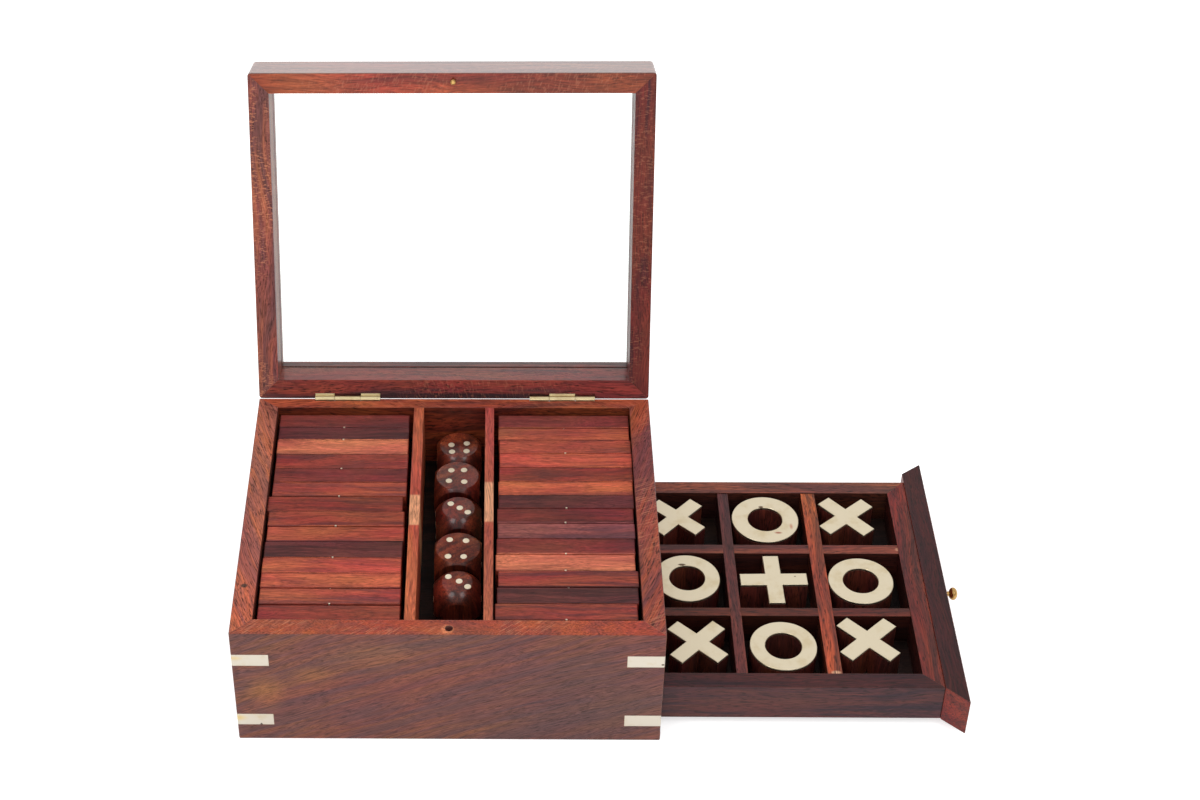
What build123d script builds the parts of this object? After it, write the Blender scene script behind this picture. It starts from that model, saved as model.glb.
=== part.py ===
from build123d import *

import os

# Games compendium box: a mitred wooden box with a glazed lid, two rows of dominoes, a channel of
# dice, and a drawer under the tray with a noughts and crosses board. The lid stands open and the
# drawer is pulled out. Millimetres, +Z up, X along the front, the origin at the middle of the
# box's underside.

os.makedirs("parts", exist_ok=True)

# ---- the box
BOX_WIDTH = 150.0  # along X
BOX_DEPTH = 127.0  # along Y
BODY_HEIGHT = 53.0  # underside to rim
SIDE_WALL = 7.6  # left and right walls, and the drawer front in the right wall
FRONT_WALL = 7.0
BACK_WALL = 5.6
BOTTOM_BOARD = 3.7
TRAY_FLOOR = 5.6
LEFT_DIVIDER = 3.8
RIGHT_DIVIDER = 3.3
DICE_CHANNEL = 23.5  # clear width between the dividers
CHANNEL_OFFSET = 0.55  # the channel stands this far to the right of the middle
EDGE_ROUND = 0.5  # the box's outer edges
FINE_EDGE = 0.25  # outer edges of the lid's underside, the drawer front and the drawer's rails

# ---- corner straps, let into the faces flush
STRAP_LENGTH = 13.0
STRAP_WIDTH = 5.4
STRAP_THICK = 0.8
LOWER_STRAP = 7.5  # underside of the box to the lower straps
UPPER_STRAP_DROP = 10.3  # rim to the top of the upper straps

# ---- lid
LID_HEIGHT = 22.0
LID_RAIL = 7.6
LID_GAP = 0.2  # between the rim and the closed lid
LID_ROUND = 1.2  # outer top edges and upright corners
LID_OPEN = 109.2  # degrees from closed to where it stands
GLASS_THICK = 2.0
GLASS_DEPTH = 14.4  # underside of the lid to the glass
GROOVE_DEPTH = 3.0
GLASS_CLEAR = 0.1  # round the pane in its groove

# ---- catch pin in the lid's front rail, and its hole in the rim
CATCH_RADIUS = 1.0
CATCH_REACH = 2.6  # out of the rail
CATCH_BURIED = 6.0
CATCH_HOLE_CLEAR = 0.4
CATCH_INSET = 3.0  # front face to the pin's axis

# ---- hinges
HINGE_WIDTH = 25.0
HINGE_INSETS = (34.2, 33.2)  # each end of the box to its hinge's middle
HINGE_AXIS_IN = 0.1  # back face to the pin's axis
KNUCKLE_RADIUS = 1.2
MIDDLE_KNUCKLE = 10.0
KNUCKLE_GAP = 0.15
LEAF_THICK = 0.8
LEAF_HEIGHT = 11.0
LEAF_RETURN = 2.1  # the lid leaf's knuckles run this far under the lid's back edge
LID_HAS_MIDDLE = (False, True)  # whose middle knuckle is the lid's, left hinge first
LEAF_CLEAR = 0.05
MORTISE_CLEAR = 0.3  # round a knuckle, in the wood
HINGE_PIN_RADIUS = 0.6
HINGE_PIN_CLEAR = 0.05
SCREW_SPACING = 15.0
SCREW_FROM_EDGE = 7.0  # rim or lid underside to a screw
SCREW_HEAD_RADIUS = 1.5
SCREW_SHANK_RADIUS = 0.7
SCREW_LENGTH = 3.6
SCREW_SLOT = 0.4
SCREW_CLEAR = 0.03

# ---- dominoes: two rows of tiles on their long edges
DOMINO_HEIGHT = 25.0
RIM_RECESS = 2.0  # rim to the tiles' tops
DOMINO_END_PLAY = 2.3  # a tile in the narrower compartment, both ends together
ROW_FROM_BACK = 2.05  # back wall to the first tile
ROW_FROM_FRONT = 1.95  # front wall to a row of mean tiles
TILE_EDGE = 0.2  # broken edge
# Hand-cut tiles, back to front: what each takes up beyond the mean, the gap in front of it, and
# where it stands in its play, from -1 against the compartment's left wall to 1 against the right.
LEFT_THICKER = (-0.3, -0.8, 0.5, 0.3, -0.3, 0.1, 0.1, 0.4, 0.0, 0.5, 0.0, -0.2, 0.5, -0.6)
LEFT_GAPS = (0.25, 0.2, 0.15, 0.1, 0.3, 0.3, 0.1, 0.5, 0.2, 0.2, 0.1, 0.5, 0.7, 0.1)
LEFT_STANDS = (-0.17, -0.1, -0.17, 0, 0, 0, -0.8, -0.24, -0.1, -0.31, -0.38, -0.31, -0.17, -0.1)
RIGHT_THICKER = (-0.2, -0.9, -0.2, 0.1, 0.0, -0.4, -0.6, 0.1, 0.2, 0.4, 0.4, 0.6, 0.1, 0.1)
RIGHT_GAPS = (0.45, 0.15, 0.25, 0.25, 0.2, 0.1, 0.35, 0.5, 0.25, 0.45, 0.1, 0.55, 0.2, 0.1)
RIGHT_STANDS = (0.52, 0.44, 0.78, 0.87, 0.78, 0.52, 0.61, 0.17, 0.35, 0, -0.26, 0.52, 0.17, -0.44)

# ---- dice
DIE_SIZE = 17.0
# Back to front: the radius of the sphere that rounds each die's corners, which were tumbled by hand,
# the gap behind it, where it stands in its play across the channel, from -1 at the left to 1 at the
# right, and its turn in degrees.
DIE_ROUNDINGS = (11.2, 11.6, 10.4, 11.7, 10.1)
DIE_GAPS = (1.8, 0.8, 1.0, 4.5, 0.7)
DIE_STANDS = (0.52, 0.43, 0.62, 0.68, 0.68)
DIE_TURNS = (1.5, -2.0, 2.0, -1.0, 1.0)

# ---- drawer
DRAWER_OPEN = 107.6  # how far it is pulled out
DRAWER_UNDER_GAP = 0.3
DRAWER_OVER_GAP = 0.4
MITRE_GAP = 0.3  # between the drawer front's mitres and the walls', along Y
GUIDE_STRIP = 4.0  # on the back wall
GUIDE_HEIGHT = 9.0
DRAWER_SIDE_PLAY = 0.7  # on each side
RAIL_BELOW_FRONT = 0.3  # the rails' tops below the drawer front's
SIDE_RAIL = 6.6
END_RAIL = 7.2
DRAWER_BASE = 2.5
CELL_LENGTH = 28.2  # along X
FIRST_COLUMN_BAR = 4.0
SECOND_COLUMN_BAR = 5.3
BACK_ROW_BAR = 4.6
FRONT_ROW_BAR = 4.0
BAR_DROP = 0.3  # the grid's top below the rails'
HALVING_CLEAR = 0.1

# ---- knob
KNOB_RADIUS = 2.4
KNOB_THICK = 3.3  # along its axis
KNOB_REACH = 6.15
KNOB_LOW = 0.8  # below the middle of the drawer front
KNOB_NECK_RADIUS = 0.9
KNOB_NECK_FLANGE = 1.7
KNOB_FLANGE_THICK = 0.6
KNOB_STUD = 5.0
KNOB_CLEAR = 0.03

# ---- noughts and crosses
MARK_DROP = 0.7  # rail tops to the marks' tops
PLATE_THICK = 1.0
PLATE_EDGE = 0.2
RING_HOLE_RADIUS = 6.55
CROSS_ARM = 6.0  # width
# The back row of marks first, left to right: its shape, its play in its cell, both sides together,
# its turn in degrees, and where it stands in its play, from -1 at the cell's left or front to 1 at
# its right or back.
MARKS = (
    ("cross", 5.2, 47, -0.59, 0.38),
    ("ring", 2.7, 0, -0.81, 0.17),
    ("cross", 4.6, 41, -0.98, 0.59),
    ("ring", 3.7, 0, -0.22, 0.66),
    ("cross", 3.2, 1, -0.52, 0.5),
    ("ring", 4.1, 0, -0.89, 0.12),
    ("cross", 4.2, 46, 0.38, 0.45),
    ("ring", 4.0, 0, -0.25, -0.08),
    ("cross", 3.5, 44, -0.89, 0.95),
)

# ---- what follows from the sizes above
half_width = BOX_WIDTH / 2
half_depth = BOX_DEPTH / 2
box_x = (-half_width, half_width)
box_y = (-half_depth, half_depth)
inner_right = half_width - SIDE_WALL
inner_front = -half_depth + FRONT_WALL
inner_back = half_depth - BACK_WALL
end_walls = (FRONT_WALL, BACK_WALL)
lid_rails = (LID_RAIL, LID_RAIL)
tray_top = BODY_HEIGHT - RIM_RECESS - DOMINO_HEIGHT
cavity_top = tray_top - TRAY_FLOOR
channel_left = CHANNEL_OFFSET - DICE_CHANNEL / 2
channel_right = CHANNEL_OFFSET + DICE_CHANNEL / 2

left_compartment = (-inner_right, channel_left - LEFT_DIVIDER)
right_compartment = (channel_right + RIGHT_DIVIDER, inner_right)
compartments = (left_compartment, right_compartment)
domino_length = min(right - left for left, right in compartments) - DOMINO_END_PLAY
tiles_in_row = len(LEFT_THICKER)
mean_tile = (inner_back - inner_front - ROW_FROM_BACK - ROW_FROM_FRONT) / tiles_in_row

hinge_axis_y = half_depth - HINGE_AXIS_IN
hinge_places = (-half_width + HINGE_INSETS[0], half_width - HINGE_INSETS[1])
lid_bottom = BODY_HEIGHT + LID_GAP
lid_top = lid_bottom + LID_HEIGHT
catch_y = -half_depth + CATCH_INSET

drawer_bottom = BOTTOM_BOARD + DRAWER_UNDER_GAP
front_top = cavity_top - DRAWER_OVER_GAP
rail_top = front_top - RAIL_BELOW_FRONT
base_top = drawer_bottom + DRAWER_BASE
bar_top = rail_top - BAR_DROP
mark_top = rail_top - MARK_DROP
drawer_near = inner_front + DRAWER_SIDE_PLAY
drawer_far = inner_back - GUIDE_STRIP - DRAWER_SIDE_PLAY
grid_near = drawer_near + SIDE_RAIL
grid_far = drawer_far - SIDE_RAIL
grid_right = inner_right - END_RAIL
second_bar_x = grid_right - CELL_LENGTH - SECOND_COLUMN_BAR / 2
first_bar_x = second_bar_x - SECOND_COLUMN_BAR / 2 - CELL_LENGTH - FIRST_COLUMN_BAR / 2
grid_left = first_bar_x - FIRST_COLUMN_BAR / 2 - CELL_LENGTH
cell_depth = (grid_far - grid_near - BACK_ROW_BAR - FRONT_ROW_BAR) / 3
front_bar_y = grid_near + cell_depth + FRONT_ROW_BAR / 2
back_bar_y = grid_far - cell_depth - BACK_ROW_BAR / 2
columns = (grid_left + CELL_LENGTH / 2, (first_bar_x + second_bar_x) / 2, grid_right - CELL_LENGTH / 2)
rows = (grid_far - cell_depth / 2, (front_bar_y + back_bar_y) / 2, grid_near + cell_depth / 2)
smaller_cell = min(CELL_LENGTH, cell_depth)

drawer_out = Pos(DRAWER_OPEN, 0, 0)
lid_open = (
    Pos(0, hinge_axis_y, BODY_HEIGHT) * Rot(X=-LID_OPEN) * Pos(0, -hinge_axis_y, -BODY_HEIGHT)
)


# ---- shapes that several pieces share
def slab(x, y, z):
    """A block between two places on each axis."""
    size = [high - low for low, high in (x, y, z)]
    middle = [(low + high) / 2 for low, high in (x, y, z)]
    return Pos(*middle) * Box(*size)


def prism(points, z):
    """An outline in plan, raised between two heights."""
    low, high = z
    return extrude(Plane.XY.offset(low) * Polygon(*points, align=None), high - low)


def mitred(side, x, y, side_width, end_widths, z):
    """One board of a mitred frame: its long outer edge on the frame's edge, its ends on the mitres."""
    (left, right), (front, back) = x, y
    front_width, back_width = end_widths
    outer = {"fl": (left, front), "fr": (right, front), "br": (right, back), "bl": (left, back)}
    inner = {
        "fl": (left + side_width, front + front_width),
        "fr": (right - side_width, front + front_width),
        "br": (right - side_width, back - back_width),
        "bl": (left + side_width, back - back_width),
    }
    ends = {"front": ("fl", "fr"), "right": ("fr", "br"), "back": ("br", "bl"), "left": ("bl", "fl")}
    first, last = ends[side]
    return prism([outer[first], outer[last], inner[last], inner[first]], z)


def outer_block():
    """The box's outer shape, with its edges eased."""
    block = slab(box_x, box_y, (0, BODY_HEIGHT))
    return fillet(block.edges(), EDGE_ROUND)


def box_wall(side, z):
    """A board of the box's own mitred frame, its outer edges as the whole box's are."""
    return outer_block() & mitred(side, box_x, box_y, SIDE_WALL, end_walls, z)


def rod(radius, length, x=0.0):
    """A cylinder along X about the axis, with its middle at x."""
    return Pos(x, 0, 0) * Rot(Y=90) * Cylinder(radius, length)


def write(name, shape):
    """One node's STEP file, as a single solid or as a group of separate ones."""
    shapes = shape if isinstance(shape, list) else [shape]
    solids = [solid for item in shapes for solid in item.solids()]
    node = solids[0] if len(solids) == 1 else Compound(children=solids)
    export_step(node, os.path.join("parts", name + ".step"))


# ---- hinges, about a pin along X at the origin, with the box below and the lid above
def leaf_screw(grow=0.0):
    """A slotted countersunk screw along -Y, its head's face at y = 0."""
    head = SCREW_HEAD_RADIUS + grow
    shank = SCREW_SHANK_RADIUS + grow
    tip = -LEAF_THICK - SCREW_LENGTH - grow
    profile = Polygon((0, 0), (head, 0), (shank, -LEAF_THICK), (shank, tip + shank), (0, tip), align=None)
    screw = revolve(profile, Axis.Y)
    if grow:
        return screw
    slot = slab((-head, head), (-SCREW_SLOT, 0), (-SCREW_SLOT / 2, SCREW_SLOT / 2))
    return screw - slot


def leaf_screws(edge, up, grow=0.0):
    """The screws of one leaf, whose near edge is at height edge: up is 1 on the lid and -1 on the box."""
    z = edge + up * SCREW_FROM_EDGE
    places = (-SCREW_SPACING / 2, SCREW_SPACING / 2)
    return [Pos(x, HINGE_AXIS_IN, z) * leaf_screw(grow) for x in places]


def leaf_plate(edge, up, grow=0.0):
    """The flat of a leaf, let in flush with the wood's back face."""
    z = sorted((edge - up * grow, edge + up * (LEAF_HEIGHT + grow)))
    x = (-HINGE_WIDTH / 2 - grow, HINGE_WIDTH / 2 + grow)
    return slab(x, (HINGE_AXIS_IN - LEAF_THICK - grow, HINGE_AXIS_IN), z)


def knuckle_spans(middle, gap):
    """Where the middle knuckle, or the outer two, lie along the pin, half a gap short of the others."""
    if middle:
        return [(-(MIDDLE_KNUCKLE - gap) / 2, (MIDDLE_KNUCKLE - gap) / 2)]
    near, far = (MIDDLE_KNUCKLE + gap) / 2, HINGE_WIDTH / 2
    return [(-far, -near), (near, far)]


def knuckles(middle, radius, gap):
    """The middle knuckle, or the outer two."""
    return [rod(radius, high - low, (low + high) / 2) for low, high in knuckle_spans(middle, gap)]


def leaf_returns(middle, edge):
    """What runs from the lid leaf's knuckles under the lid's back edge, flush with its underside."""
    y = (HINGE_AXIS_IN - LEAF_RETURN, HINGE_AXIS_IN)
    return [slab(x, y, (edge, edge + LEAF_THICK)) for x in knuckle_spans(middle, KNUCKLE_GAP)]


def hinge_leaf(edge, up, middle):
    """A leaf with its own knuckles, cleared round the other leaf's and bored for the pin."""
    leaf = leaf_plate(edge, up)
    leaf -= knuckles(not middle, KNUCKLE_RADIUS + KNUCKLE_GAP, -KNUCKLE_GAP)
    leaf += knuckles(middle, KNUCKLE_RADIUS, KNUCKLE_GAP)
    if up == 1:
        leaf += leaf_returns(middle, edge)
    leaf -= rod(HINGE_PIN_RADIUS + HINGE_PIN_CLEAR, 2 * HINGE_WIDTH)
    for screw in leaf_screws(edge, up, SCREW_CLEAR):
        leaf -= screw
    return leaf


def hinge_leaves(edge, up):
    """One leaf at each hinge."""
    middles = [lids if up == 1 else not lids for lids in LID_HAS_MIDDLE]
    return [at_hinge(x, hinge_leaf(edge, up, middle)) for x, middle in zip(hinge_places, middles)]


def hinge_mortise(edge, up):
    """What the wood loses for one leaf, its screws and all the knuckles."""
    knuckle_room = rod(KNUCKLE_RADIUS + MORTISE_CLEAR, HINGE_WIDTH + 2 * LEAF_CLEAR)
    mortise = leaf_plate(edge, up, LEAF_CLEAR) + knuckle_room
    if up == 1:
        x = (-HINGE_WIDTH / 2 - LEAF_CLEAR, HINGE_WIDTH / 2 + LEAF_CLEAR)
        y = (HINGE_AXIS_IN - LEAF_RETURN - LEAF_CLEAR, 0)
        mortise += slab(x, y, (0, edge + LEAF_THICK + LEAF_CLEAR))
    for screw in leaf_screws(edge, up, SCREW_CLEAR):
        mortise += screw
    return mortise


def at_hinge(x, shape):
    """A shape moved from the pin at the origin to the hinge at x."""
    return Pos(x, hinge_axis_y, BODY_HEIGHT) * shape


def at_hinges(shapes):
    """Each shape at both hinges."""
    return [at_hinge(x, shape) for x in hinge_places for shape in shapes]


# ---- the box's pieces
def corner_strap(end, side, z):
    """One strap at a corner: end is -1 at the left and 1 at the right, side -1 in front and 1 behind."""
    corner_x = end * half_width
    corner_y = side * half_depth
    length_x = sorted((corner_x, corner_x - end * STRAP_LENGTH))
    length_y = sorted((corner_y, corner_y - side * STRAP_LENGTH))
    thick_x = sorted((corner_x, corner_x - end * STRAP_THICK))
    thick_y = sorted((corner_y, corner_y - side * STRAP_THICK))
    along_face = slab(length_x, thick_y, z)
    if end == 1 and z[0] < cavity_top:
        return along_face & box_wall("front" if side == -1 else "back", z)
    return (along_face + slab(thick_x, length_y, z)) & outer_block()


def corner_straps():
    """Brass straps in the faces, round each corner but the two that the drawer front leaves open."""
    upper_top = BODY_HEIGHT - UPPER_STRAP_DROP
    heights = ((LOWER_STRAP, LOWER_STRAP + STRAP_WIDTH), (upper_top - STRAP_WIDTH, upper_top))
    return [corner_strap(end, side, z) for end in (-1, 1) for side in (-1, 1) for z in heights]


def catch_hole():
    """The hole in the rim that takes the catch pin, deep enough for its whole reach."""
    depth = CATCH_REACH + CATCH_HOLE_CLEAR
    hole = Cylinder(CATCH_RADIUS + CATCH_HOLE_CLEAR, 2 * depth)
    return Pos(CHANNEL_OFFSET, catch_y, BODY_HEIGHT) * hole


def build_box():
    """The walls, floors, dividers and brass of the box, by node name."""
    whole = (0, BODY_HEIGHT)
    straps = corner_straps()
    inner_y = (inner_front, inner_back)
    pieces = {
        "front_wall": box_wall("front", whole) - catch_hole(),
        "back_wall": box_wall("back", whole) - at_hinges([hinge_mortise(0, -1)]),
        "left_wall": box_wall("left", whole),
        "right_wall": box_wall("right", (cavity_top, BODY_HEIGHT)),
    }
    for name in pieces:
        pieces[name] -= straps
    pieces["corner_straps"] = straps
    pieces["drawer_sill"] = box_wall("right", (0, BOTTOM_BOARD))
    pieces["bottom_board"] = slab((-inner_right, inner_right), inner_y, (0, BOTTOM_BOARD))
    pieces["tray_floor"] = slab((-inner_right, inner_right), inner_y, (cavity_top, tray_top))
    divider_z = (tray_top, BODY_HEIGHT)
    pieces["left_divider"] = slab((channel_left - LEFT_DIVIDER, channel_left), inner_y, divider_z)
    pieces["right_divider"] = slab((channel_right, channel_right + RIGHT_DIVIDER), inner_y, divider_z)
    pieces["drawer_guide"] = slab(
        (-inner_right, inner_right),
        (inner_back - GUIDE_STRIP, inner_back),
        (BOTTOM_BOARD, BOTTOM_BOARD + GUIDE_HEIGHT),
    )
    return pieces


def build_hinges():
    """Both hinges, each kind of piece as one group, by node name."""
    pin = rod(HINGE_PIN_RADIUS, HINGE_WIDTH)
    lid_screws = at_hinges(leaf_screws(LID_GAP, 1))
    return {
        "hinge_box_leaves": hinge_leaves(0, -1),
        "hinge_box_screws": at_hinges(leaf_screws(0, -1)),
        "hinge_pins": at_hinges([pin]),
        "hinge_lid_leaves": [lid_open * leaf for leaf in hinge_leaves(LID_GAP, 1)],
        "hinge_lid_screws": [lid_open * screw for screw in lid_screws],
    }


# ---- the lid, drawn closed and then swung open
def lid_frame():
    """The whole frame before its mitres are cut: rounded outer edges and a groove for the glass."""
    block = slab(box_x, box_y, (lid_bottom, lid_top))
    rounded = block.faces().sort_by(Axis.Z)[-1].edges() + block.edges().filter_by(Axis.Z)
    block = fillet(rounded, LID_ROUND)
    block = chamfer(block.faces().sort_by(Axis.Z)[0].edges(), FINE_EDGE)
    opening_x = half_width - LID_RAIL
    opening_y = half_depth - LID_RAIL
    block -= slab((-opening_x, opening_x), (-opening_y, opening_y), (lid_bottom, lid_top))
    groove_x = opening_x + GROOVE_DEPTH
    groove_y = opening_y + GROOVE_DEPTH
    groove_z = (lid_bottom + GLASS_DEPTH, lid_bottom + GLASS_DEPTH + GLASS_THICK)
    return block - slab((-groove_x, groove_x), (-groove_y, groove_y), groove_z)


def catch_pin():
    """A round-ended pin that stands out of the lid's front rail."""
    length = CATCH_BURIED + CATCH_REACH
    middle = Pos(CHANNEL_OFFSET, catch_y, lid_bottom + CATCH_BURIED - length / 2)
    pin = middle * Cylinder(CATCH_RADIUS, length)
    return fillet(pin.faces().sort_by(Axis.Z)[0].edges(), CATCH_RADIUS / 2)


def build_lid():
    """The lid's rails, glass and catch pin, by node name, standing open."""
    frame = lid_frame()
    pin = catch_pin()
    pieces = {}
    for side in ("front", "back", "left", "right"):
        wedge = mitred(side, box_x, box_y, LID_RAIL, lid_rails, (lid_bottom, lid_top))
        pieces[f"lid_{side}_rail"] = frame & wedge
    pieces["lid_front_rail"] -= pin
    pieces["lid_back_rail"] -= at_hinges([hinge_mortise(LID_GAP, 1)])
    pane_x = half_width - LID_RAIL + GROOVE_DEPTH - GLASS_CLEAR
    pane_y = half_depth - LID_RAIL + GROOVE_DEPTH - GLASS_CLEAR
    pane_z = lid_bottom + GLASS_DEPTH
    pane_z = (pane_z + GLASS_CLEAR / 2, pane_z + GLASS_THICK - GLASS_CLEAR / 2)
    pieces["lid_glass"] = slab((-pane_x, pane_x), (-pane_y, pane_y), pane_z)
    pieces["catch_pin"] = pin
    return {name: lid_open * piece for name, piece in pieces.items()}


# ---- the drawer, drawn closed and then pulled out
def knob(grow=0.0):
    """A turned knob along +X from the origin, flattened end to end, with a flange and a stud."""
    neck = KNOB_NECK_RADIUS + grow
    head_x = KNOB_REACH - KNOB_THICK / 2
    stud = Polygon((-KNOB_STUD - grow, 0), (-KNOB_STUD - grow, neck), (0, neck), (0, 0), align=None)
    turned = revolve(stud, Axis.X)
    if grow:
        return turned
    flange = Polygon(
        (0, 0), (0, KNOB_NECK_FLANGE), (KNOB_FLANGE_THICK, KNOB_NECK_FLANGE - KNOB_FLANGE_THICK / 2),
        (2 * KNOB_FLANGE_THICK, neck), (head_x, neck), (head_x, 0), align=None,
    )
    upper_half = Pos(0, KNOB_RADIUS / 2) * Rectangle(KNOB_THICK, KNOB_RADIUS)
    head = Pos(head_x, 0) * (Ellipse(KNOB_THICK / 2, KNOB_RADIUS) & upper_half)
    return turned + revolve(flange, Axis.X) + revolve(head, Axis.X)


def drawer_front():
    """The board that closes the drawer opening, flush, with its ends on the box's mitres."""
    y = (-half_depth + MITRE_GAP, half_depth - MITRE_GAP)
    board = mitred("right", box_x, y, SIDE_WALL, end_walls, (drawer_bottom, front_top))
    return chamfer(board.faces().sort_by(Axis.X)[-1].edges(), FINE_EDGE)


def drawer_rail(side):
    """A rail of the drawer's own mitred frame: its outer edge, its inner edge and its eased top."""
    outer_x = (grid_left - SIDE_RAIL, inner_right)
    outer_y = (drawer_near, drawer_far)
    inner_x = (grid_left, grid_right)
    inner_y = (grid_near, grid_far)
    ends = {
        "near": ((0, 0), (1, 0)),
        "end": ((1, 0), (1, 1)),
        "far": ((1, 1), (0, 1)),
        "inner": ((0, 1), (0, 0)),
    }
    first, last = ends[side]
    outline = [(outer_x[i], outer_y[j]) for i, j in (first, last)]
    outline += [(inner_x[i], inner_y[j]) for i, j in (last, first)]
    frame = slab(outer_x, outer_y, (drawer_bottom, rail_top))
    frame = chamfer(frame.faces().sort_by(Axis.Z)[-1].edges(), FINE_EDGE)
    return frame & prism(outline, (drawer_bottom, rail_top))


def column_bar(x, thick):
    """A grid bar across the drawer, its lower half slotted for the two bars it crosses."""
    z = (base_top, bar_top)
    bar = slab((x - thick / 2, x + thick / 2), (grid_near, grid_far), z)
    middle = (base_top + bar_top) / 2
    for y, other in ((front_bar_y, FRONT_ROW_BAR), (back_bar_y, BACK_ROW_BAR)):
        reach = (other + HALVING_CLEAR) / 2
        bar -= slab((x - thick, x + thick), (y - reach, y + reach), (base_top, middle + HALVING_CLEAR / 2))
    return bar


def row_bar(y, thick):
    """A grid bar along the drawer, its upper half slotted for the two bars it crosses."""
    z = (base_top, bar_top)
    bar = slab((grid_left, grid_right), (y - thick / 2, y + thick / 2), z)
    middle = (base_top + bar_top) / 2
    for x, other in ((first_bar_x, FIRST_COLUMN_BAR), (second_bar_x, SECOND_COLUMN_BAR)):
        reach = (other + HALVING_CLEAR) / 2
        bar -= slab((x - reach, x + reach), (y - thick, y + thick), (middle - HALVING_CLEAR / 2, bar_top))
    return bar


def build_drawer():
    """The drawer's board, rails, base, grid and knob, by node name, pulled out."""
    knob_place = Pos(half_width, 0, (drawer_bottom + front_top) / 2 - KNOB_LOW)
    pieces = {
        "drawer_front": drawer_front() - knob_place * knob(KNOB_CLEAR),
        "drawer_knob": knob_place * knob(),
        "drawer_base": slab((grid_left, grid_right), (grid_near, grid_far), (drawer_bottom, base_top)),
        "first_column_bar": column_bar(first_bar_x, FIRST_COLUMN_BAR),
        "second_column_bar": column_bar(second_bar_x, SECOND_COLUMN_BAR),
        "back_row_bar": row_bar(back_bar_y, BACK_ROW_BAR),
        "front_row_bar": row_bar(front_bar_y, FRONT_ROW_BAR),
    }
    for side in ("near", "far", "end", "inner"):
        pieces[f"drawer_{side}_rail"] = drawer_rail(side)
    return {name: drawer_out * piece for name, piece in pieces.items()}


# ---- the pieces of the games
def mark_outline(kind, span):
    """A nought or an upright cross in plan."""
    if kind == "ring":
        return Circle(span / 2) - Circle(RING_HOLE_RADIUS)
    return Rectangle(span, CROSS_ARM) + Rectangle(CROSS_ARM, span)


def build_marks():
    """Each nought or cross as a wooden block and the brass plate on it, by node name."""
    cells = [(x, y) for y in rows for x in columns]
    plate_bottom = mark_top - PLATE_THICK
    pieces = {}
    for number, ((kind, play, turn, right, back), (x, y)) in enumerate(zip(MARKS, cells), 1):
        outline = mark_outline(kind, smaller_cell - play)
        block = extrude(Plane.XY.offset(base_top) * outline, plate_bottom - base_top)
        plate = extrude(Plane.XY.offset(plate_bottom) * outline, PLATE_THICK)
        plate = chamfer(plate.faces().sort_by(Axis.Z)[-1].edges(), PLATE_EDGE)
        size = (Rot(Z=turn) * block).bounding_box().size
        x += right * (CELL_LENGTH - size.X) / 2
        y += back * (cell_depth - size.Y) / 2
        place = drawer_out * Pos(x, y, 0) * Rot(Z=turn)
        pieces[f"{kind}_{number}_block"] = place * block
        pieces[f"{kind}_{number}_plate"] = place * plate
    return pieces


def domino_row(compartment, thicker, gaps, stands):
    """A row of tiles on edge, from the back wall forward, all of one length and height."""
    left, right = compartment
    play = (right - left - domino_length) / 2
    edge = inner_back - ROW_FROM_BACK
    tiles = []
    for extra, gap, stand in zip(thicker, gaps, stands):
        thick = mean_tile + extra - gap
        tile = Box(domino_length, thick, DOMINO_HEIGHT)
        tile = chamfer(tile.edges(), TILE_EDGE)
        x = (left + right) / 2 + stand * play
        tiles.append(Pos(x, edge - thick / 2, tray_top + DOMINO_HEIGHT / 2) * tile)
        edge -= thick + gap
    return tiles


def build_dice():
    """The dice in their channel, from the back wall forward, by node name."""
    cube = Box(DIE_SIZE, DIE_SIZE, DIE_SIZE)
    play = (DICE_CHANNEL - DIE_SIZE) / 2
    pieces = {}
    y = inner_back + DIE_SIZE / 2
    dice = zip(DIE_ROUNDINGS, DIE_GAPS, DIE_STANDS, DIE_TURNS)
    for number, (rounding, gap, stand, turn) in enumerate(dice, 1):
        die = cube & Sphere(rounding)
        y -= DIE_SIZE + gap
        place = Pos(CHANNEL_OFFSET + stand * play, y, tray_top + DIE_SIZE / 2)
        pieces[f"die_{number}"] = place * Rot(Z=turn) * die
    return pieces


nodes = {}
nodes.update(build_box())
nodes.update(build_hinges())
nodes.update(build_lid())
nodes.update(build_drawer())
nodes.update(build_marks())
nodes.update(build_dice())
nodes["left_dominoes"] = domino_row(left_compartment, LEFT_THICKER, LEFT_GAPS, LEFT_STANDS)
nodes["right_dominoes"] = domino_row(right_compartment, RIGHT_THICKER, RIGHT_GAPS, RIGHT_STANDS)

for node_name, node_shape in nodes.items():
    write(node_name, node_shape)
print(len(nodes), "nodes")
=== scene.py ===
import math

import bpy
from mathutils import Matrix, Vector


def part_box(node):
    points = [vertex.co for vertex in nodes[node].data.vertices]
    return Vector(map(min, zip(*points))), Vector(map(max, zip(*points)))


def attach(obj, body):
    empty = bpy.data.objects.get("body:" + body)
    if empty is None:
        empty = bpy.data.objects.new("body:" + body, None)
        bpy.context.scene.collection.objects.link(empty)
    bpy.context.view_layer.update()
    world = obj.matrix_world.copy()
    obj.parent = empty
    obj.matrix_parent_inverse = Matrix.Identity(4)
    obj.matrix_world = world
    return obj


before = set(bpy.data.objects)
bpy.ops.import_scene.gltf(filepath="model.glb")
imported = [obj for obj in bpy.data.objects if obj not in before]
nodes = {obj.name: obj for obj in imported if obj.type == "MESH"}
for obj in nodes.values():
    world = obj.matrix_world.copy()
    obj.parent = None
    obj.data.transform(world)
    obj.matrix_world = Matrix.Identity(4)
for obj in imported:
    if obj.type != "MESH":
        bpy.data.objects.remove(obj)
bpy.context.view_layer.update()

# Games compendium box in oiled Indian rosewood, with brass let into it. The wood, brass and glass
# are made here over the modelled pieces, with the pips and lines of the dice and dominoes.
# Metres, in the model's own frame; sizes given in millimetres are turned by MM.

MM = 0.001


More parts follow.
